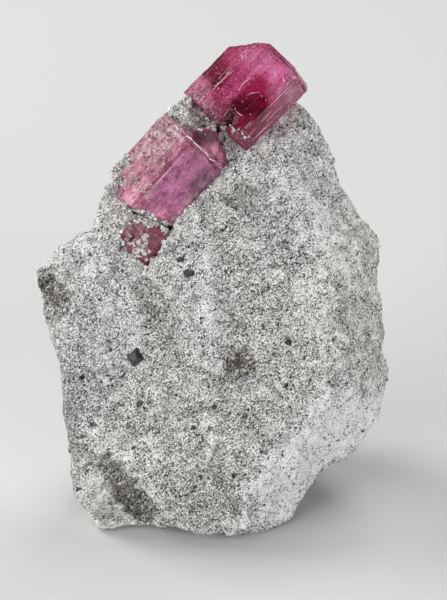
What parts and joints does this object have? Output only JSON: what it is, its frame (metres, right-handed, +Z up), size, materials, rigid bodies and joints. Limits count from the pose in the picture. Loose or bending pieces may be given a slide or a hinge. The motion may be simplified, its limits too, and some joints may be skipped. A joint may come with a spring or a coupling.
{
  "type": "red beryl crystals on rhyolite matrix",
  "caption": "Raspberry-red hexagonal beryl crystals on the upper edge of a loose, pale grey, speckled rhyolite rock that stands on its flat underside.",
  "frame": {"origin": "middle of the box around the specimen, on the surface that it stands on", "axes": "+Z up, -Y out of the broad front that carries the crystals, +X to the right as seen from that front"},
  "size_m": [0.031, 0.0232, 0.0388],
  "materials": {
    "rhyolite": "matte",
    "clear_beryl": "polished",
    "etched_beryl": "satin"
  },
  "bodies": {
    "root": {"rhyolite_matrix": "rhyolite", "upper_crystal": "clear_beryl", "middle_crystal": "etched_beryl", "lower_crystal": "etched_beryl"}
  },
  "joints": []
}
